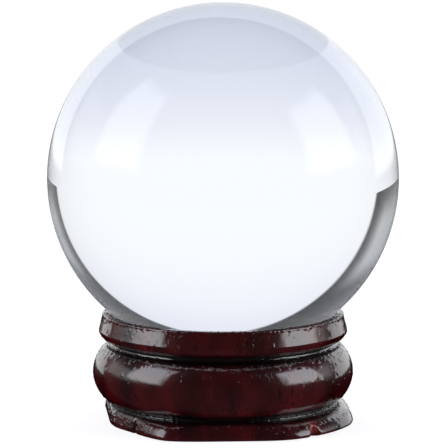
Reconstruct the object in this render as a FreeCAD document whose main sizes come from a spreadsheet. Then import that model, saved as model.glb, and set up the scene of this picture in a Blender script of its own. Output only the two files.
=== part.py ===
"""Crystal ball on a turned and carved wooden stand, in millimetres.

+Z is up, and the origin is on the table under the ball's centre.

The stand is one turned blank: a ring lip, a cove, a drum-shaped belly, a second cove and a foot flange.
Flats and small V notches are carved by hand into the flange, so no two of its four feet are quite the same.
The ball lies loose in a conical seat in the top of the stand. The front of the stand faces -Y.
"""

import FreeCAD, Part

import math
import os

import Sketcher

SIZES = {
    # the ball
    "ball_diameter": 80.0,
    "ball_centre_height": 55.4,
    # the ring lip
    "stand_height": 24.6,
    "lip_inner_radius": 25.9,
    "lip_outer_radius": 27.5,
    "lip_edge_round": 0.5,
    "lip_base_radius": 28.4,
    "lip_base_height": 20.7,
    "lip_corner_radius": 27.2,
    "lip_corner_height": 18.9,
    "lip_bevel_round": 2.2,
    # the upper cove
    "upper_cove_top_radius": 26.0,
    "upper_cove_top_height": 18.8,
    "upper_cove_round": 1.0,
    # the belly
    "belly_top_radius": 26.85,
    "belly_top_height": 17.1,
    "belly_round": 7.75,
    "belly_base_radius": 27.0,
    "belly_base_height": 5.05,
    # the lower cove and the foot flange
    "lower_cove_round": 0.75,
    "flange_top_radius": 26.2,
    "flange_top_height": 3.95,
    "flange_round": 5.5,
    "flange_radius": 31.0,
    "flange_edge_round": 0.6,
    # the shallow relief in the underside
    "relief_radius": 22.0,
    "relief_depth": 1.0,
    # the seat and the recess bored below it
    "seat_gap": 0.15,
    "seat_angle": 37.6,
    "seat_outer_radius": 25.4,
    "seat_inner_radius": 22.9,
    "recess_floor_height": 8.0,
    "recess_round": 0.4,
    # the flats carved in the flange: the way each one faces,
    # and how far out it is at the table and at its top
    "front_flat_turn": 273.0,
    "front_flat_base": 28.3,
    "front_flat_top": 26.3,
    "right_flat_turn": 5.0,
    "right_flat_base": 29.8,
    "right_flat_top": 28.0,
    "back_flat_turn": 88.0,
    "back_flat_base": 28.3,
    "back_flat_top": 26.3,
    "left_flat_turn": 185.0,
    "left_flat_base": 26.6,
    "left_flat_top": 26.0,
    "flank_flat_turn": 214.0,
    "flank_flat_base": 27.6,
    "flank_flat_top": 26.6,
    "flat_top_height": 4.45,
    "carving_reach": 40.0,
    # the V notches, one in each foot
    "notch_half_width": 2.0,
    "notch_root_radius": 29.6,
    "notch_mouth_radius": 32.0,
    "flank_notch_root_radius": 26.7,
    "right_notch_turn": 312.4,
    "back_right_notch_turn": 46.0,
    "back_left_notch_turn": 136.0,
    "left_notch_turn": 224.0,
}

FLATS = ("front", "right", "back", "left", "flank")
NOTCHES = {
    "right": "notch_root_radius",
    "back_right": "notch_root_radius",
    "back_left": "notch_root_radius",
    "left": "flank_notch_root_radius",
}


def make_sheet(doc):
    """The spreadsheet of driving dimensions, one named cell for each."""
    sheet = doc.addObject("Spreadsheet::Sheet", "sizes")
    for row, (name, value) in enumerate(SIZES.items(), start=1):
        sheet.set(f"A{row}", name)
        sheet.set(f"B{row}", str(value))
        sheet.setAlias(f"B{row}", name)
    doc.recompute()
    return sheet


def evaluated(sheet, expression):
    """The value that an expression on the sheet's cells has."""
    result = sheet.evalExpression(expression)
    return float(getattr(result, "Value", result))


def seat_height(radius):
    """The height of the seat's cone at a radius. The cone clears the ball by the seat's gap."""
    return (
        "sizes.ball_centre_height"
        " - (sizes.ball_diameter / 2 + sizes.seat_gap) / cos(sizes.seat_angle * 1deg)"
        f" + {radius} * tan(sizes.seat_angle * 1deg)"
    )


def short_arc(start, end, radius, bulges_left):
    """The shorter arc of a radius between two points, drawn anticlockwise as the sketcher keeps it."""
    chord = end - start
    left = FreeCAD.Vector(-chord.y, chord.x, 0).normalize()
    towards_centre = -left if bulges_left else left
    centre = (start + end) / 2 + towards_centre * math.sqrt(radius**2 - (chord.Length / 2) ** 2)
    first, last = (end, start) if bulges_left else (start, end)
    first_angle = math.atan2(first.y - centre.y, first.x - centre.x)
    last_angle = math.atan2(last.y - centre.y, last.x - centre.x)
    if last_angle < first_angle:
        last_angle += 2 * math.pi
    circle = Part.Circle(centre, FreeCAD.Vector(0, 0, 1), radius)
    return Part.ArcOfCircle(circle, first_angle, last_angle)


def draw_outline(sheet, sketch, corners):
    """A closed outline whose corners and arcs are bound to the sheet.

    Each corner is (x, y, edge), where x and y are expressions. edge is how the outline goes on to the
    next corner: None for a straight line, or (radius expression, bulges_left) for an arc.
    """
    places = [FreeCAD.Vector(evaluated(sheet, x), evaluated(sheet, y), 0) for x, y, _ in corners]
    ends = []
    for i, (_, _, edge) in enumerate(corners):
        start, end = places[i], places[(i + 1) % len(places)]
        if edge is None:
            piece = sketch.addGeometry(Part.LineSegment(start, end))
            ends.append((piece, 1, 2))
            continue
        expression, bulges_left = edge
        radius = evaluated(sheet, expression)
        piece = sketch.addGeometry(short_arc(start, end, radius, bulges_left))
        ends.append((piece, 2, 1) if bulges_left else (piece, 1, 2))
        bound = sketch.addConstraint(Sketcher.Constraint("Radius", piece, radius))
        sketch.setExpression(f"Constraints[{bound}]", expression)
    for i, (piece, _, last) in enumerate(ends):
        following, its_first, _ = ends[(i + 1) % len(ends)]
        sketch.addConstraint(Sketcher.Constraint("Coincident", piece, last, following, its_first))
    for (x, y, _), place, (piece, first, _) in zip(corners, places, ends):
        for kind, size, expression in (("DistanceX", place.x, x), ("DistanceY", place.y, y)):
            bound = sketch.addConstraint(Sketcher.Constraint(kind, -1, 1, piece, first, size))
            sketch.setExpression(f"Constraints[{bound}]", expression)


def new_sketch(body, name, role):
    """A sketch on one of the body's own origin planes."""
    sketch = body.newObject("Sketcher::SketchObject", name)
    plane = next(feature for feature in body.Origin.OriginFeatures if feature.Role == role)
    sketch.AttachmentSupport = (plane, [""])
    sketch.MapMode = "FlatFace"
    return sketch


def turned_sketch(sheet, body, name, role, turn, upright):
    """A sketch turned about the stand's axis, which is the sketch's own axis called upright."""
    sketch = new_sketch(body, name, role)
    rotation = FreeCAD.Rotation(upright, evaluated(sheet, turn))
    sketch.AttachmentOffset = FreeCAD.Placement(FreeCAD.Vector(), rotation)
    return sketch


def turn_blank(doc, sheet, body):
    """The turned blank: ring lip, coves, belly and flange outside; relief, recess and seat inside."""
    out, hollow = True, False
    seat_base = seat_height("sizes.seat_inner_radius")
    lip_top_radius = "sizes.lip_outer_radius - sizes.lip_edge_round"
    recess_floor_radius = "sizes.seat_inner_radius - sizes.recess_round"
    corners = [
        ("sizes.lip_inner_radius", "sizes.stand_height", None),
        (lip_top_radius, "sizes.stand_height", ("sizes.lip_edge_round", out)),
        ("sizes.lip_outer_radius", "sizes.stand_height - sizes.lip_edge_round", None),
        ("sizes.lip_base_radius", "sizes.lip_base_height", ("sizes.lip_bevel_round", out)),
        ("sizes.lip_corner_radius", "sizes.lip_corner_height", None),
        ("sizes.upper_cove_top_radius", "sizes.upper_cove_top_height", ("sizes.upper_cove_round", hollow)),
        ("sizes.belly_top_radius", "sizes.belly_top_height", ("sizes.belly_round", out)),
        ("sizes.belly_base_radius", "sizes.belly_base_height", ("sizes.lower_cove_round", hollow)),
        ("sizes.flange_top_radius", "sizes.flange_top_height", ("sizes.flange_round", out)),
        ("sizes.flange_radius", "sizes.flange_edge_round", ("sizes.flange_edge_round", out)),
        ("sizes.flange_radius - sizes.flange_edge_round", "0", None),
        ("sizes.relief_radius", "0", None),
        ("sizes.relief_radius - sizes.relief_depth", "sizes.relief_depth", None),
        ("0", "sizes.relief_depth", None),
        ("0", "sizes.recess_floor_height", None),
        (recess_floor_radius, "sizes.recess_floor_height", ("sizes.recess_round", hollow)),
        ("sizes.seat_inner_radius", "sizes.recess_floor_height + sizes.recess_round", None),
        ("sizes.seat_inner_radius", seat_base, None),
        ("sizes.seat_outer_radius", seat_height("sizes.seat_outer_radius"), None),
    ]
    sketch = new_sketch(body, "stand_outline", "XZ_Plane")
    draw_outline(sheet, sketch, corners)
    turned = body.newObject("PartDesign::Revolution", "turned_blank")
    turned.Profile = sketch
    turned.ReferenceAxis = (sketch, ["V_Axis"])
    turned.Angle = 360.0
    doc.recompute()
    return turned


def carve_flat(doc, sheet, body, side):
    """One slanted flat in the flange. It is deeper at its top, where it meets the lower cove."""
    up = FreeCAD.Vector(0, 1, 0)
    sketch = turned_sketch(sheet, body, f"{side}_flat_outline", "XZ_Plane", f"sizes.{side}_flat_turn", up)
    corners = [
        (f"sizes.{side}_flat_base", "0", None),
        ("sizes.carving_reach", "0", None),
        ("sizes.carving_reach", "sizes.flat_top_height", None),
        (f"sizes.{side}_flat_top", "sizes.flat_top_height", None),
    ]
    draw_outline(sheet, sketch, corners)
    pocket = body.newObject("PartDesign::Pocket", f"{side}_flat")
    pocket.Profile = sketch
    pocket.SideType = "Symmetric"
    pocket.setExpression("Length", "sizes.carving_reach * 2")
    doc.recompute()
    return pocket


def carve_notch(doc, sheet, body, foot, root):
    """One upright V notch in the edge of a foot."""
    up = FreeCAD.Vector(0, 0, 1)
    sketch = turned_sketch(sheet, body, f"{foot}_notch_outline", "XY_Plane", f"sizes.{foot}_notch_turn", up)
    corners = [
        (f"sizes.{root}", "0", None),
        ("sizes.notch_mouth_radius", "-sizes.notch_half_width", None),
        ("sizes.notch_mouth_radius", "sizes.notch_half_width", None),
    ]
    draw_outline(sheet, sketch, corners)
    pocket = body.newObject("PartDesign::Pocket", f"{foot}_notch")
    pocket.Profile = sketch
    pocket.Reversed = True
    pocket.setExpression("Length", "sizes.flange_top_height")
    doc.recompute()
    return pocket


def make_stand(doc, sheet):
    """The wooden stand, turned from one blank and carved."""
    body = doc.addObject("PartDesign::Body", "turned_stand")
    body.Label = "turned_stand"
    steps = [turn_blank(doc, sheet, body)]
    steps += [carve_flat(doc, sheet, body, side) for side in FLATS]
    steps += [carve_notch(doc, sheet, body, foot, root) for foot, root in NOTCHES.items()]
    for before, after in zip(steps, steps[1:]):
        removed = before.Shape.Volume - after.Shape.Volume
        print(f"{after.Name} removes {removed:.1f} mm3")
        if removed < 1.0:
            raise RuntimeError(f"{after.Name} cuts nothing")
    return body


def make_ball(doc):
    """The solid glass ball."""
    ball = doc.addObject("Part::Sphere", "crystal_ball")
    ball.Label = "crystal_ball"
    ball.setExpression("Radius", "sizes.ball_diameter / 2")
    ball.setExpression(".Placement.Base.z", "sizes.ball_centre_height")
    return ball


def export(doc, parts):
    """Checks every object and writes each sub-part to its own file."""
    doc.recompute()
    failed = [o.Name for o in doc.Objects if {"Invalid", "Error"} & set(o.State)]
    if failed:
        raise RuntimeError(f"these objects failed: {failed}")
    os.makedirs("parts", exist_ok=True)
    for part in parts:
        shape = part.Shape
        if shape.isNull() or not shape.isValid():
            raise RuntimeError(f"{part.Label} has no valid shape")
        if len(shape.Solids) != 1:
            raise RuntimeError(f"{part.Label} is not one solid")
        shape.exportStep(f"parts/{part.Label}.step")
        low, high = shape.BoundBox.ZMin, shape.BoundBox.ZMax
        print(f"{part.Label}: {shape.Volume:.0f} mm3, z {low:.2f} to {high:.2f}")


def main():
    doc = FreeCAD.newDocument("crystal_ball")
    sheet = make_sheet(doc)
    export(doc, [make_stand(doc, sheet), make_ball(doc)])


main()
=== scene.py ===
import math

import bmesh
import bpy
import numpy as np
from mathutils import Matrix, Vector


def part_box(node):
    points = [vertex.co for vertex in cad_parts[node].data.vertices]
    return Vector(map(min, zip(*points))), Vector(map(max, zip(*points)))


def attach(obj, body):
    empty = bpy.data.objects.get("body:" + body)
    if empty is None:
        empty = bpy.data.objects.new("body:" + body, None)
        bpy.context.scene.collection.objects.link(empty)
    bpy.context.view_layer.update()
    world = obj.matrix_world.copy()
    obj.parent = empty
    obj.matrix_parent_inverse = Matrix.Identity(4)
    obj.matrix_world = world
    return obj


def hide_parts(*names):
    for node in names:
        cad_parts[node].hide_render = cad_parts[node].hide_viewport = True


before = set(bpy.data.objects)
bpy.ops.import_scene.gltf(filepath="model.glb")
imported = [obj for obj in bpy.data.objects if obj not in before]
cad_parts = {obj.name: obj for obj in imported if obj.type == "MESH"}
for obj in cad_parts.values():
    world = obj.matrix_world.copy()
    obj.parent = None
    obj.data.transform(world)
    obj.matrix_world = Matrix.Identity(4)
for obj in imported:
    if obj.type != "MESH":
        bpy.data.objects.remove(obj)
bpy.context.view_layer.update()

MM = 0.001

BALL_LOW, BALL_HIGH = (np.array(corner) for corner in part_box("crystal_ball"))
BALL_CENTRE = (BALL_LOW + BALL_HIGH) / 2
BALL_RADIUS = float(min(BALL_HIGH - BALL_LOW)) / 2
# How many quads run along each side of the cube that is blown up into the ball.
BALL_CUTS = 112
# Vertices closer than this, in metres, are merged.
WELD_M = 1e-7

# The camera, as fitted to the photograph: its place in metres from the ball's centre, and how far it
# looks down.
CAMERA_BACK = 0.793
CAMERA_UP = 0.1058
CAMERA_RIGHT = 0.00023
CAMERA_PITCH_DEG = 8.35
CAMERA_LENS_MM = 282.5
CAMERA_SENSOR_MM = 36.0

# The stand's outline in millimetres, as turned: radius and height of its corners.
LIP_INNER = (25.9, 24.6)
LIP_TOP = (27.0, 24.6)
LIP_EDGE = (27.5, 24.1)
LIP_BASE = (28.4, 20.7)
LIP_CORNER = (27.2, 18.9)
UPPER_COVE_TOP = (26.0, 18.8)
BELLY_TOP = (26.85, 17.1)
BELLY_BASE = (27.0, 5.05)
FLANGE_TOP = (26.2, 3.95)
FLANGE_RIM = (31.0, 0.6)
FLANGE_BASE = (30.4, 0.0)
RELIEF_EDGE = (22.0, 0.0)
RELIEF_CORNER = (21.0, 1.0)
RELIEF_CENTRE = (0.0, 1.0)
RECESS_CENTRE = (0.0, 8.0)
SEAT_INNER_RADIUS = 22.9
SEAT_OUTER_RADIUS = 25.4
SEAT_ANGLE_DEG = 37.6
SEAT_GAP = 0.15

# The radii of the outline's arcs, in millimetres.
RECESS_ROUND = 0.4
LIP_EDGE_ROUND = 0.5
LIP_CORNER_ROUND = 2.2
UPPER_COVE_ROUND = 1.0
BELLY_ROUND = 7.75
LOWER_COVE_ROUND = 0.75
FLANGE_CREST_ROUND = 5.5
FLANGE_RIM_ROUND = 0.6

# The distance between the outline's points, in millimetres: short where it turns tightly, long where it
# is flat and hidden.
POINT_SPACING = 0.22
LIP_EDGE_SPACING = 0.10
FILLET_SPACING = 0.12
FLANGE_SPACING = 0.14
LIP_CORNER_SPACING = 0.15
RELIEF_SPACING = 0.4
STRAIGHT_SPACING = 0.6
DISC_SPACING = 1.5
FEWEST_LINE_POINTS = 2
FEWEST_ARC_POINTS = 4

# The outline is spun round in this many turns.
TURN_COUNT = 960
TURNS = np.linspace(-math.pi, math.pi, TURN_COUNT, endpoint=False)
# Keeps the length of a normal above zero where points meet at the axis.
SHORTEST_NORMAL = 1e-9

# The carving, in millimetres. Azimuths are in degrees from the camera's side, positive to the right.
# Each flat: the way it faces, and its distance from the axis at the table and at its top.
FLAT_TOP_HEIGHT = 4.45
FLATS = {
    "front": (3.0, 28.3, 26.3),
    "right": (95.0, 29.8, 28.0),
    "back": (178.0, 28.3, 26.3),
    "left": (-85.0, 26.6, 26.0),
    "flank": (-56.0, 27.6, 26.6),
}
FLAT_ROUND = 2.2
# A flat cuts only where the cosine of the angle from the way it faces is above this. Elsewhere its reach
# is set to a radius that cuts nothing.
FLAT_LEAST_COSINE = 0.3
NO_CUT_RADIUS = 1000.0
# Each notch: the way it faces, its root's distance from the axis, and the rounding of its edges and of
# its root.
NOTCHES = {
    "right": (42.4, 29.6, 0.6, 0.45),
    "back_right": (136.0, 29.6, 0.6, 0.45),
    "back_left": (-134.0, 29.6, 0.6, 0.45),
    "left": (-46.0, 27.2, 0.7, 0.5),
}
# A notch's half width is reached at the radius of its mouth.
NOTCH_HALF_WIDTH = 2.0
NOTCH_MOUTH = 32.0
# The foot's lower edge is drawn in below this height as a quarter ellipse, of this share of its height.
FOOT_EDGE = 1.3
FOOT_EDGE_DEPTH = 0.6
# The carving dies away over this height below the flats' top, inside the lower cove.
CARVING_FADE = 0.5

# Dust nibs in the lacquer, in millimetres. They crowd at the upper cove, the lip's top, the lower cove and
# the flange's crest (height and spread), and on three sides of the stand (degrees from the camera's side,
# and their spread in radians). The even shares are added to both. No nib sits closer to the axis than the
# inner radius, which leaves out the recess and the upper cove's bottom, or below the lowest height.
NIB_SEED = 11
NIB_COUNT = 3800
NIB_LEVELS = ((17.2, 1.3), (24.3, 0.5), (4.5, 0.5), (2.6, 0.25))
NIB_EVEN_HEIGHTS = 0.05
NIB_SIDES = (-78.0, 76.0, 165.0)
NIB_SIDE_SPREAD = 0.5
NIB_EVEN_TURNS = 0.25
NIB_INNER_RADIUS = LIP_TOP[0] - 1.2
NIB_LOWEST = 0.5
NIB_WIDTHS = (0.14, 0.30)
NIB_PEAKS = (0.03, 0.16)
# A nib raises the points up to this many steps away.
NIB_REACH = 5

GLASS_COLOUR = (0.975, 0.985, 1.0)
GLASS_IOR = 1.52

# The wood. Each noise: its scale, its detail, and its stretch along x, y and z. Each step: where a value
# starts to count and where it counts in full.
EVEN = (1.0, 1.0, 1.0)
FIGURE_NOISE = (160.0, 4.0, (1.0, 1.0, 0.12))
FIGURE_STOPS = ((0.32, (0.014, 0.0006, 0.0012)), (0.70, (0.115, 0.0028, 0.0050)))
OPEN_GRAIN_NOISE = (90.0, 1.0, (1.0, 1.0, 0.5))
OPEN_GRAIN_STEP = (0.42, 0.58)
PORE_NOISE = (1500.0, 2.0, (1.0, 1.0, 0.05))
PORE_STEP = (0.60, 0.66)
PORE_COLOUR = (0.010, 0.0008, 0.0012)
PORE_STRENGTH = 0.85
PORE_DEPTH = 0.15
# Painted shade darkens the coves, where shade falls in them: height and reach of each, in millimetres. It is
# at full strength up to this share of the reach.
SHADED_COVES = ((17.9, 2.0), (4.5, 1.6))
COVE_SHADE_CORE = 0.35
COVE_SHADE_COLOUR = (0.0035, 0.0012, 0.0016)
COVE_SHADE_STRENGTH = 0.92
# The right notch's facet is painted almost bare and lit: partly thin lacquer, partly a painted highlight. This
# starts at the first distance from the facet's middle, in millimetres, and is full within the second.
BARE_AND_LIT_COLOUR = (0.30, 0.022, 0.016)
BARE_AND_LIT_REACH = (1.9, 1.1)
# The lacquer: specks in dusty patches, over a fine orange peel.
DUST_NOISE = (110.0, 1.0, EVEN)
DUST_STEP = (0.46, 0.60)
SPECK_NOISE = (1300.0, 1.0, EVEN)
SPECK_STEP = (0.64, 0.78)
PEEL_NOISE = (300.0, 1.0, EVEN)
PEEL_HEIGHT = 0.9
BUMP_STRENGTH = 0.85
BUMP_DISTANCE_M = 0.00008
WOOD_ROUGHNESS = 0.35
WOOD_SPECULAR = 0.25
LACQUER_ROUGHNESS = 0.03
LACQUER_IOR = 2.0

# The studio. The backdrop faces the camera, turned a little to the right and down. Brightness by degrees
# off its middle: backdrop, dark gap, walls, dark behind. Light that comes through the glass meets the same
# half studio on both sides, so that the ball is clear from behind too. Everything else sees it dark behind
# the camera.
BACKDROP_TURN_DEG = 6.5
BACKDROP_DIP_DEG = 13.0
STUDIO_RINGS = ((56.0, 1.0), (58.0, 0.04), (61.0, 0.12), (68.0, 0.55), (100.0, 0.55), (118.0, 0.02))
# The walls begin over this many degrees beyond the backdrop. They are lit between these elevations, in
# degrees, and dark below and above.
BACKDROP_EDGE_DEG = 2.0
WALLS_DEG = (5.0, 27.0)
WALLS_SOFTNESS_DEG = 6.0
WALLS_DARK = 0.02
# The studio fades in between these elevations, in radians. It is dark below them.
HORIZON_FADE = (-0.08, -0.03)
# Each softbox: azimuths and elevations in degrees, and strength.
SOFTBOXES = {
    "left": ((-96.0, -58.0), (9.0, 53.0), 2.0),
    "right": ((59.0, 99.0), (7.0, 44.0), 2.1),
}
SOFTBOX_SOFTNESS_DEG = 5.0
# The light's colour at the horizon, and its colour from an elevation in degrees up.
LOW_TINT = (1.02, 1.04, 1.05)
HIGH_TINT = (0.88, 0.90, 1.00)
HIGH_TINT_DEG = 50.0
# The brightness of the white that the camera sees behind everything.
BACKGROUND_WHITE = 1.1

# The floor. Its own light near the object, dimmed there as painted shade, and out at the backdrop, and the
# metres between which it changes.
FLOOR_HALF_M = 3.0
FLOOR_COLOUR = (0.80, 0.81, 0.86)
FLOOR_ROUGHNESS = 0.9
FLOOR_GLOW_NEAR_SHADED = (0.42, 0.45, 0.54)
FLOOR_GLOW_FAR = (0.74, 0.75, 0.74)
FLOOR_SWEEP_M = (0.04, 0.32)
# The floor's own light for the camera alone, which sees it burnt out to the white of the background.
FLOOR_WHITE = (0.80, 0.80, 0.80)


# ---------------------------------------------------------------- node helpers


def new_material(name):
    """An empty node material, as the material and its node tree."""
    material = bpy.data.materials.new(name)
    material.use_nodes = True
    material.node_tree.nodes.clear()
    return material, material.node_tree


def set_inputs(node, **values):
    """Sets a node's sockets by name, with underscores for spaces."""
    for name, value in values.items():
        node.inputs[name.replace("_", " ")].default_value = value
    return node


def add_shader(tree, **values):
    """A Principled shader, linked to the material's output, with some of its sockets set by name."""
    shader = set_inputs(tree.nodes.new("ShaderNodeBsdfPrincipled"), **values)
    output = tree.nodes.new("ShaderNodeOutputMaterial")
    tree.links.new(shader.outputs["BSDF"], output.inputs["Surface"])
    return shader


def math_node(tree, operation, first, second=None):
    """A Math node whose inputs are sockets or numbers. Returns its output."""
    node = tree.nodes.new("ShaderNodeMath")
    node.operation = operation
    for socket, value in zip(node.inputs, (first, second)):
        if isinstance(value, bpy.types.NodeSocket):
            tree.links.new(value, socket)
        elif value is not None:
            socket.default_value = value
    return node.outputs[0]


def step_node(tree, value, start, end):
    """A smooth step of a value from 0 at start to 1 at end."""
    node = tree.nodes.new("ShaderNodeMapRange")
    node.interpolation_type = "SMOOTHSTEP"
    set_inputs(node, From_Min=start, From_Max=end)
    tree.links.new(value, node.inputs["Value"])
    return node.outputs["Result"]


def mix_node(tree, factor, first, second):
    """A mix of two colours by a factor. Each is a socket, or red, green and blue. Returns its output."""
    node = tree.nodes.new("ShaderNodeMix")
    node.data_type = "RGBA"
    tree.links.new(factor, node.inputs["Factor"])
    for name, value in (("A", first), ("B", second)):
        if isinstance(value, bpy.types.NodeSocket):
            tree.links.new(value, node.inputs[name])
        else:
            node.inputs[name].default_value = (*value, 1.0)
    return node.outputs["Result"]


def ramp_node(tree, value, stops):
    """A colour ramp of a value. Each stop is a position and a colour. Returns its output."""
    node = tree.nodes.new("ShaderNodeValToRGB")
    elements = node.color_ramp.elements
    while len(elements) < len(stops):
        elements.new(1.0)
    for element, (position, colour) in zip(elements, stops):
        element.position = position
        element.color = (*colour, 1.0)
    tree.links.new(value, node.inputs["Fac"])
    return node.outputs["Color"]


def noise_node(tree, place, scale, detail, stretch):
    """A noise at a place, stretched by a scale for each axis. Returns its output."""
    mapping = set_inputs(tree.nodes.new("ShaderNodeMapping"), Scale=stretch)
    tree.links.new(place, mapping.inputs["Vector"])
    texture = set_inputs(tree.nodes.new("ShaderNodeTexNoise"), Scale=scale, Detail=detail)
    tree.links.new(mapping.outputs["Vector"], texture.inputs["Vector"])
    return texture.outputs["Fac"]


def vector_node(tree, operation, vector, constant):
    """A Vector Math node between a socket and a constant vector. Returns the number that it gives."""
    node = tree.nodes.new("ShaderNodeVectorMath")
    node.operation = operation
    node.inputs[1].default_value = constant
    tree.links.new(vector, node.inputs[0])
    return node.outputs["Value"]


def object_place(tree):
    """The place on the object that is being shaded, in metres."""
    return tree.nodes.new("ShaderNodeTexCoord").outputs["Object"]


# ---------------------------------------------------------------- the glass ball


def cube_sphere(radius, cuts):
    """Vertices and quads of a cube's faces blown up to a sphere, so no pole pinches."""
    steps = np.tan(np.linspace(-math.pi / 4, math.pi / 4, cuts + 1))
    u, v = np.meshgrid(steps, steps, indexing="ij")
    one = np.ones_like(u)
    sides = [(one, u, v), (-one, v, u), (v, one, u), (u, -one, v), (u, v, one), (v, u, -one)]
    places, quads = [], []
    corner = np.arange((cuts + 1) ** 2).reshape(cuts + 1, cuts + 1)
    for index, side in enumerate(sides):
        grid = np.stack(side, axis=-1).reshape(-1, 3)
        places.append(radius * grid / np.linalg.norm(grid, axis=1, keepdims=True))
        ids = corner + index * corner.size
        ring = (ids[:-1, :-1], ids[1:, :-1], ids[1:, 1:], ids[:-1, 1:])
        quads.append(np.stack(ring, axis=-1).reshape(-1, 4))
    return np.concatenate(places), np.concatenate(quads)


def mesh_object(name, places, faces, material):
    """A smooth-shaded mesh object with doubled vertices merged and its normals pointing outwards."""
    mesh = bpy.data.meshes.new(name)
    mesh.from_pydata([tuple(place) for place in places], [], [tuple(face) for face in faces])
    shape = bmesh.new()
    shape.from_mesh(mesh)
    bmesh.ops.remove_doubles(shape, verts=shape.verts, dist=WELD_M)
    bmesh.ops.recalc_face_normals(shape, faces=shape.faces)
    for face in shape.faces:
        face.smooth = True
    shape.to_mesh(mesh)
    shape.free()
    mesh.materials.append(material)
    piece = bpy.data.objects.new(name, mesh)
    bpy.context.scene.collection.objects.link(piece)
    return piece


def glass_material():
    """Clear optical glass with a faint cool tint."""
    material, tree = new_material("clear_glass")
    colour = (*GLASS_COLOUR, 1.0)
    add_shader(tree, Base_Color=colour, Roughness=0.0, IOR=GLASS_IOR, Transmission_Weight=1.0)
    return material


def make_ball():
    """The glass ball, fine enough to refract without facets."""
    places, quads = cube_sphere(BALL_RADIUS, BALL_CUTS)
    ball = mesh_object("glass_ball", places + BALL_CENTRE, quads, glass_material())
    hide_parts("crystal_ball")
    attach(ball, "ball")


# ---------------------------------------------------------------- the stand's outline


def line_points(start, end, spacing=POINT_SPACING):
    """Points from start up to, and without, end."""
    start, end = np.array(start, float), np.array(end, float)
    count = max(FEWEST_LINE_POINTS, math.ceil(np.linalg.norm(end - start) / spacing))
    return start + (end - start) * np.linspace(0, 1, count, endpoint=False)[:, None]


def arc_points(start, end, radius, bulges_left, spacing=POINT_SPACING):
    """Points along the shorter arc from start up to, and without, end."""
    start, end = np.array(start, float), np.array(end, float)
    chord = end - start
    length = np.linalg.norm(chord)
    left = np.array([-chord[1], chord[0]]) / length
    centre = (start + end) / 2 - left * math.sqrt(radius**2 - (length / 2) ** 2) * (1 if bulges_left else -1)
    first = math.atan2(*(start - centre)[::-1])
    sweep = 2 * math.asin(length / 2 / radius) * (-1 if bulges_left else 1)
    count = max(FEWEST_ARC_POINTS, math.ceil(abs(sweep) * radius / spacing))
    angles = first + sweep * np.linspace(0, 1, count, endpoint=False)
    return centre + radius * np.stack([np.cos(angles), np.sin(angles)], axis=-1)


def seat_height(radius):
    """The seat cone's height in millimetres at a radius."""
    slope = math.radians(SEAT_ANGLE_DEG)
    ball_radius, ball_height = BALL_RADIUS / MM, float(BALL_CENTRE[2]) / MM
    return ball_height - (ball_radius + SEAT_GAP) / math.cos(slope) + radius * math.tan(slope)


def stand_outline():
    """The turned outline, from the middle of the recess over the lip and down to the underside's middle."""
    seat_inner = (SEAT_INNER_RADIUS, seat_height(SEAT_INNER_RADIUS))
    seat_outer = (SEAT_OUTER_RADIUS, seat_height(SEAT_OUTER_RADIUS))
    wall_foot = (SEAT_INNER_RADIUS, RECESS_CENTRE[1] + RECESS_ROUND)
    floor_edge = (SEAT_INNER_RADIUS - RECESS_ROUND, RECESS_CENTRE[1])
    return np.concatenate([
        line_points(RECESS_CENTRE, floor_edge, DISC_SPACING),
        arc_points(floor_edge, wall_foot, RECESS_ROUND, False, FILLET_SPACING),
        line_points(wall_foot, seat_inner, STRAIGHT_SPACING),
        line_points(seat_inner, seat_outer),
        line_points(seat_outer, LIP_INNER),
        line_points(LIP_INNER, LIP_TOP),
        arc_points(LIP_TOP, LIP_EDGE, LIP_EDGE_ROUND, True, LIP_EDGE_SPACING),
        line_points(LIP_EDGE, LIP_BASE),
        arc_points(LIP_BASE, LIP_CORNER, LIP_CORNER_ROUND, True, LIP_CORNER_SPACING),
        line_points(LIP_CORNER, UPPER_COVE_TOP),
        arc_points(UPPER_COVE_TOP, BELLY_TOP, UPPER_COVE_ROUND, False, FILLET_SPACING),
        arc_points(BELLY_TOP, BELLY_BASE, BELLY_ROUND, True),
        arc_points(BELLY_BASE, FLANGE_TOP, LOWER_COVE_ROUND, False, FILLET_SPACING),
        arc_points(FLANGE_TOP, FLANGE_RIM, FLANGE_CREST_ROUND, True, FLANGE_SPACING),
        arc_points(FLANGE_RIM, FLANGE_BASE, FLANGE_RIM_ROUND, True, FLANGE_SPACING),
        line_points(FLANGE_BASE, RELIEF_EDGE, STRAIGHT_SPACING),
        line_points(RELIEF_EDGE, RELIEF_CORNER, RELIEF_SPACING),
        line_points(RELIEF_CORNER, RELIEF_CENTRE, DISC_SPACING),
        [RELIEF_CENTRE],
    ])


# ---------------------------------------------------------------- the stand's carving and nibs


def angle_from(azimuth, facing):
    """The angle from the way something faces, in degrees, to an azimuth in radians. Runs from -pi to pi."""
    return np.angle(np.exp(1j * (azimuth - math.radians(facing))))


def soft_min(a, b, softness):
    """The smaller of two lengths, with the edge between them rounded as lacquer rounds it."""
    blend = np.clip(0.5 + 0.5 * (b - a) / softness, 0.0, 1.0)
    return b * (1 - blend) + a * blend - softness * blend * (1 - blend)


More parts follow.
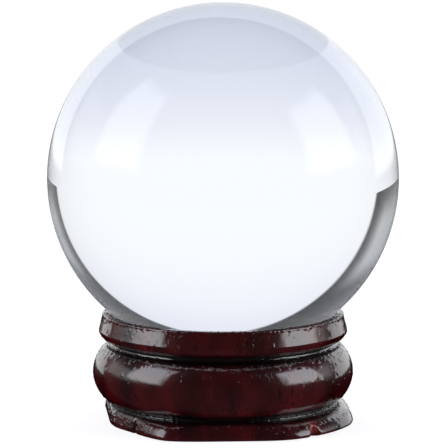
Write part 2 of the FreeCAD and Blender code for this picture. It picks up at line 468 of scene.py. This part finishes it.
def carve_side(radius, height, azimuth):
    """The flange's radius once the flats and notches are cut. The cuts die away inside the lower cove."""
    carved = radius.copy()
    for facing, base, top in FLATS.values():
        cosine = np.cos(azimuth - math.radians(facing))
        plane = base + (top - base) * height / FLAT_TOP_HEIGHT
        reach = plane / np.maximum(cosine, FLAT_LEAST_COSINE)
        reach = np.where(cosine > FLAT_LEAST_COSINE, reach, NO_CUT_RADIUS)
        carved = soft_min(carved, reach, FLAT_ROUND)
    for facing, root, edge_round, root_round in NOTCHES.values():
        across = np.hypot(angle_from(azimuth, facing) * FLANGE_RIM[0], root_round) - root_round
        wall = root + across * (NOTCH_MOUTH - root) / NOTCH_HALF_WIDTH
        carved = soft_min(carved, wall, edge_round)
    below = np.clip(FOOT_EDGE - height, 0.0, FOOT_EDGE)
    carved -= (FOOT_EDGE - np.sqrt(FOOT_EDGE**2 - below**2)) * FOOT_EDGE_DEPTH
    depth = np.clip((FLAT_TOP_HEIGHT - height) / CARVING_FADE, 0.0, 1.0)
    return radius + (carved - radius) * depth


def carve_underside(radius, azimuth):
    """The radius of a point on the face that rests on the table, drawn in with the carved rim above it."""
    rim = carve_side(np.full_like(radius, FLANGE_BASE[0]), np.zeros_like(radius), azimuth)
    share = (radius - RELIEF_EDGE[0]) / (FLANGE_BASE[0] - RELIEF_EDGE[0])
    return RELIEF_EDGE[0] + share * (rim - RELIEF_EDGE[0])


def nib_height_shares(outline):
    """The share of the nibs for each outline point: none inside, in the upper cove's bottom or at the foot."""
    height = outline[:, 1]
    lacquered = (outline[:, 0] > NIB_INNER_RADIUS) & (height > NIB_LOWEST)
    crowding = sum(np.exp(-(((height - level) / spread) ** 2)) for level, spread in NIB_LEVELS)
    share = np.where(lacquered, NIB_EVEN_HEIGHTS + crowding, 0.0)
    return share / share.sum()


def nib_turn_shares():
    """The share of the nibs that falls on each turn of the stand."""
    crowding = sum(np.exp(-((angle_from(TURNS, side) / NIB_SIDE_SPREAD) ** 2)) for side in NIB_SIDES)
    share = NIB_EVEN_TURNS + crowding
    return share / share.sum()


def lacquer_nibs(outline):
    """How far dust nibs raise the lacquer, in millimetres, for each outline point and turn of the stand."""
    random = np.random.default_rng(NIB_SEED)
    rows = random.choice(len(outline), NIB_COUNT, p=nib_height_shares(outline))
    columns = random.choice(TURN_COUNT, NIB_COUNT, p=nib_turn_shares())
    widths = random.uniform(*NIB_WIDTHS, NIB_COUNT)
    peaks = random.uniform(*NIB_PEAKS, NIB_COUNT)
    steps = np.arange(-NIB_REACH, NIB_REACH + 1)
    raised = np.zeros((len(outline), TURN_COUNT))
    for row, column, width, peak in zip(rows, columns, widths, peaks):
        near = slice(max(row - NIB_REACH, 0), row + NIB_REACH + 1)
        along = np.linalg.norm(outline[near] - outline[row], axis=1)
        across = steps * outline[row, 0] * 2 * math.pi / TURN_COUNT
        nib = peak * np.exp(-(along[:, None] ** 2 + across[None, :] ** 2) / width**2)
        touched = (column + steps) % TURN_COUNT
        raised[near, touched] = np.maximum(raised[near, touched], nib)
    return raised


# ---------------------------------------------------------------- the wooden stand


def carved_places(outline):
    """The stand's points in millimetres: the outline at each turn, with the flange carved."""
    radius, azimuth = np.meshgrid(outline[:, 0], TURNS, indexing="ij")
    height = np.repeat(outline[:, 1][:, None], TURN_COUNT, axis=1)
    beyond_relief = radius >= RELIEF_EDGE[0]
    side = beyond_relief & (height > 0) & (height < FLAT_TOP_HEIGHT)
    underside = beyond_relief & (height == 0)
    radius = np.where(side, carve_side(radius, height, azimuth), radius)
    radius = np.where(underside, carve_underside(radius, azimuth), radius)
    return np.stack([radius * np.sin(azimuth), -radius * np.cos(azimuth), height], axis=-1)


def outward_normals(places):
    """The unit normal at each of the stand's points, from its neighbours along the outline and around."""
    around = np.roll(places, -1, axis=1) - np.roll(places, 1, axis=1)
    outwards = np.cross(np.gradient(places, axis=0), around)
    return outwards / np.maximum(np.linalg.norm(outwards, axis=-1, keepdims=True), SHORTEST_NORMAL)


def turned_quads(row_count):
    """Quads between neighbouring outline points and turns, closed all the way round."""
    ids = np.arange(row_count * TURN_COUNT).reshape(row_count, TURN_COUNT)
    following = np.roll(ids, -1, axis=1)
    return np.stack([ids[:-1], ids[1:], following[1:], following[:-1]], axis=-1).reshape(-1, 4)


def make_stand():
    """The stand as a fine mesh: its outline spun round, its flange carved and its lacquer nibbed."""
    outline = stand_outline()
    places = carved_places(outline)
    places += outward_normals(places) * lacquer_nibs(outline)[..., None]
    quads = turned_quads(len(outline))
    stand = mesh_object("wooden_stand", places.reshape(-1, 3) * MM, quads, wood_material())
    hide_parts("turned_stand")
    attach(stand, "stand")


def pore_mask(tree, place):
    """1 in the open pores, which run upright and come in patches."""
    open_grain = step_node(tree, noise_node(tree, place, *OPEN_GRAIN_NOISE), *OPEN_GRAIN_STEP)
    pores = step_node(tree, noise_node(tree, place, *PORE_NOISE), *PORE_STEP)
    return math_node(tree, "MULTIPLY", pores, open_grain)


def cove_shade_mask(tree, place):
    """1 in the middle of the coves, where shade is painted, falling to 0 above and below."""
    split = tree.nodes.new("ShaderNodeSeparateXYZ")
    tree.links.new(place, split.inputs[0])
    height = math_node(tree, "DIVIDE", split.outputs["Z"], MM)
    mask = 0.0
    for level, reach in SHADED_COVES:
        away = math_node(tree, "ABSOLUTE", math_node(tree, "SUBTRACT", height, level))
        mask = math_node(tree, "MAXIMUM", mask, step_node(tree, away, reach, reach * COVE_SHADE_CORE))
    return mask


def bare_and_lit_mask(tree, place):
    """1 on the right notch's facet, where the wood is almost bare and a highlight is painted."""
    facing, root = NOTCHES["right"][:2]
    turn = math.radians(facing)
    middle = (root * math.sin(turn) * MM, -root * math.cos(turn) * MM, FLAT_TOP_HEIGHT / 2 * MM)
    away = vector_node(tree, "DISTANCE", place, middle)
    start, end = BARE_AND_LIT_REACH
    return step_node(tree, away, start * MM, end * MM)


def wood_colour(tree, place, pores):
    """The wood's dark red figure, darker in the pores, with painted shade in the coves, and almost bare with a
    painted highlight on one facet.
    """
    colour = ramp_node(tree, noise_node(tree, place, *FIGURE_NOISE), FIGURE_STOPS)
    colour = mix_node(tree, math_node(tree, "MULTIPLY", pores, PORE_STRENGTH), colour, PORE_COLOUR)
    # Painted shade: the coves are darkened where shade falls in them.
    cove_shade = math_node(tree, "MULTIPLY", cove_shade_mask(tree, place), COVE_SHADE_STRENGTH)
    colour = mix_node(tree, cove_shade, colour, COVE_SHADE_COLOUR)
    # Painted highlight, with thin lacquer: the right notch's facet is brightened where light falls on it.
    return mix_node(tree, bare_and_lit_mask(tree, place), colour, BARE_AND_LIT_COLOUR)


def lacquer_normal(tree, place, pores):
    """The lacquer's bump: specks and orange peel stand up, and pores sink in."""
    dusty = step_node(tree, noise_node(tree, place, *DUST_NOISE), *DUST_STEP)
    specks = step_node(tree, noise_node(tree, place, *SPECK_NOISE), *SPECK_STEP)
    peel = math_node(tree, "MULTIPLY", noise_node(tree, place, *PEEL_NOISE), PEEL_HEIGHT)
    raised = math_node(tree, "ADD", math_node(tree, "MULTIPLY", specks, dusty), peel)
    relief = math_node(tree, "SUBTRACT", raised, math_node(tree, "MULTIPLY", pores, PORE_DEPTH))
    bump = set_inputs(tree.nodes.new("ShaderNodeBump"), Strength=BUMP_STRENGTH, Distance=BUMP_DISTANCE_M)
    tree.links.new(relief, bump.inputs["Height"])
    return bump.outputs["Normal"]


def wood_material():
    """Dark red stained wood, its grain upright, under a thick gloss lacquer."""
    material, tree = new_material("lacquered_wood")
    place = object_place(tree)
    pores = pore_mask(tree, place)
    shader = add_shader(tree, Roughness=WOOD_ROUGHNESS, Specular_IOR_Level=WOOD_SPECULAR)
    set_inputs(shader, Coat_Weight=1.0, Coat_Roughness=LACQUER_ROUGHNESS, Coat_IOR=LACQUER_IOR)
    tree.links.new(wood_colour(tree, place, pores), shader.inputs["Base Color"])
    normal = lacquer_normal(tree, place, pores)
    tree.links.new(normal, shader.inputs["Normal"])
    tree.links.new(normal, shader.inputs["Coat Normal"])
    return material


# ---------------------------------------------------------------- the studio


def floor_material():
    """A pale floor whose own light brightens away from the object, as painted shade near it, and which the
    camera sees plain white.
    """
    material, tree = new_material("studio_floor")
    distance = vector_node(tree, "DISTANCE", object_place(tree), (0.0, 0.0, 0.0))
    # Painted shade: the floor's own light is dimmer near the object.
    glow = mix_node(tree, step_node(tree, distance, *FLOOR_SWEEP_M), FLOOR_GLOW_NEAR_SHADED, FLOOR_GLOW_FAR)
    is_camera_ray = tree.nodes.new("ShaderNodeLightPath").outputs["Is Camera Ray"]
    shader = add_shader(tree, Base_Color=(*FLOOR_COLOUR, 1.0), Roughness=FLOOR_ROUGHNESS)
    set_inputs(shader, Specular_IOR_Level=0.0, Emission_Strength=1.0)
    tree.links.new(mix_node(tree, is_camera_ray, glow, FLOOR_WHITE), shader.inputs["Emission Color"])
    return material


def make_floor():
    """A plain square floor, which mirror reflections leave out."""
    half = FLOOR_HALF_M
    corners = [(-half, -half, 0), (half, -half, 0), (half, half, 0), (-half, half, 0)]
    floor = mesh_object("studio_floor", corners, [(0, 1, 2, 3)], floor_material())
    floor.visible_glossy = False


def band_node(tree, angle, low, high, soft):
    """1 between two angles in degrees, with soft edges."""
    rise = step_node(tree, angle, math.radians(low - soft), math.radians(low + soft))
    fall = step_node(tree, angle, math.radians(high + soft), math.radians(high - soft))
    return math_node(tree, "MULTIPLY", rise, fall)


def angle_off_backdrop(tree, direction, is_transmission_ray):
    """The angle between a direction and the backdrop's middle. The half behind is mirrored for the glass."""
    turn, dip = math.radians(BACKDROP_TURN_DEG), math.radians(BACKDROP_DIP_DEG)
    middle = (math.sin(turn) * math.cos(dip), math.cos(turn) * math.cos(dip), -math.sin(dip))
    facing = vector_node(tree, "DOT_PRODUCT", direction, middle)
    behind = math_node(tree, "SUBTRACT", math_node(tree, "ABSOLUTE", facing), facing)
    mirrored = math_node(tree, "MULTIPLY", behind, is_transmission_ray)
    return math_node(tree, "ARCCOSINE", math_node(tree, "ADD", facing, mirrored))


def backdrop_and_walls(tree, off_axis, elevation):
    """The brightness of the backdrop and of the walls around it, which are lit in a band."""
    low, high = math.radians(STUDIO_RINGS[0][0]), math.radians(STUDIO_RINGS[-1][0])
    reach = set_inputs(tree.nodes.new("ShaderNodeMapRange"), From_Min=low, From_Max=high)
    tree.links.new(off_axis, reach.inputs["Value"])
    stops = [((math.radians(degrees) - low) / (high - low), (light,) * 3) for degrees, light in STUDIO_RINGS]
    rings = ramp_node(tree, reach.outputs["Result"], stops)

    off_backdrop = step_node(tree, off_axis, low, low + math.radians(BACKDROP_EDGE_DEG))
    unlit = math_node(tree, "SUBTRACT", 1.0, band_node(tree, elevation, *WALLS_DEG, WALLS_SOFTNESS_DEG))
    dark = math_node(tree, "MULTIPLY", off_backdrop, unlit)
    above_floor = step_node(tree, elevation, *HORIZON_FADE)
    lit = math_node(tree, "MULTIPLY", math_node(tree, "SUBTRACT", 1.0, dark), above_floor)
    brightness = math_node(tree, "MULTIPLY", rings, lit)
    return math_node(tree, "ADD", brightness, math_node(tree, "MULTIPLY", dark, WALLS_DARK))


def add_softboxes(tree, brightness, azimuth, elevation):
    """The brightness with a softbox at each side."""
    for azimuths, elevations, strength in SOFTBOXES.values():
        across = band_node(tree, azimuth, *azimuths, SOFTBOX_SOFTNESS_DEG)
        up = band_node(tree, elevation, *elevations, SOFTBOX_SOFTNESS_DEG)
        softbox = math_node(tree, "MULTIPLY", math_node(tree, "MULTIPLY", across, up), strength)
        brightness = math_node(tree, "MAXIMUM", brightness, softbox)
    return brightness


def make_world():
    """A plain studio: a pale backdrop, dim walls and a softbox at each side. The camera sees plain white."""
    world = bpy.data.worlds.new("studio")
    bpy.context.scene.world = world
    world.use_nodes = True
    tree = world.node_tree
    tree.nodes.clear()
    direction = tree.nodes.new("ShaderNodeTexCoord").outputs["Generated"]
    split = tree.nodes.new("ShaderNodeSeparateXYZ")
    tree.links.new(direction, split.inputs[0])
    x, y, z = split.outputs
    azimuth = math_node(tree, "ARCTAN2", x, math_node(tree, "MULTIPLY", y, -1.0))
    elevation = math_node(tree, "ARCSINE", z)
    rays = tree.nodes.new("ShaderNodeLightPath").outputs

    off_axis = angle_off_backdrop(tree, direction, rays["Is Transmission Ray"])
    brightness = backdrop_and_walls(tree, off_axis, elevation)
    brightness = add_softboxes(tree, brightness, azimuth, elevation)
    height_share = step_node(tree, elevation, 0.0, math.radians(HIGH_TINT_DEG))
    studio = tree.nodes.new("ShaderNodeBackground")
    tree.links.new(mix_node(tree, height_share, LOW_TINT, HIGH_TINT), studio.inputs["Color"])
    tree.links.new(brightness, studio.inputs["Strength"])

    white = tree.nodes.new("ShaderNodeBackground")
    set_inputs(white, Color=(1.0, 1.0, 1.0, 1.0), Strength=BACKGROUND_WHITE)
    choose = tree.nodes.new("ShaderNodeMixShader")
    tree.links.new(rays["Is Camera Ray"], choose.inputs[0])
    tree.links.new(studio.outputs[0], choose.inputs[1])
    tree.links.new(white.outputs[0], choose.inputs[2])
    tree.links.new(choose.outputs[0], tree.nodes.new("ShaderNodeOutputWorld").inputs["Surface"])


def make_camera():
    """The camera at the photograph's viewing angle."""
    data = bpy.data.cameras.new("camera")
    data.sensor_width = CAMERA_SENSOR_MM
    data.lens = CAMERA_LENS_MM
    camera = bpy.data.objects.new("camera", data)
    camera.location = Vector(BALL_CENTRE) + Vector((CAMERA_RIGHT, -CAMERA_BACK, CAMERA_UP))
    camera.rotation_euler = (math.radians(90 - CAMERA_PITCH_DEG), 0, 0)
    bpy.context.scene.collection.objects.link(camera)
    bpy.context.scene.camera = camera


make_ball()
make_stand()
make_floor()
make_world()
make_camera()
bpy.context.scene.view_settings.view_transform = "Standard"
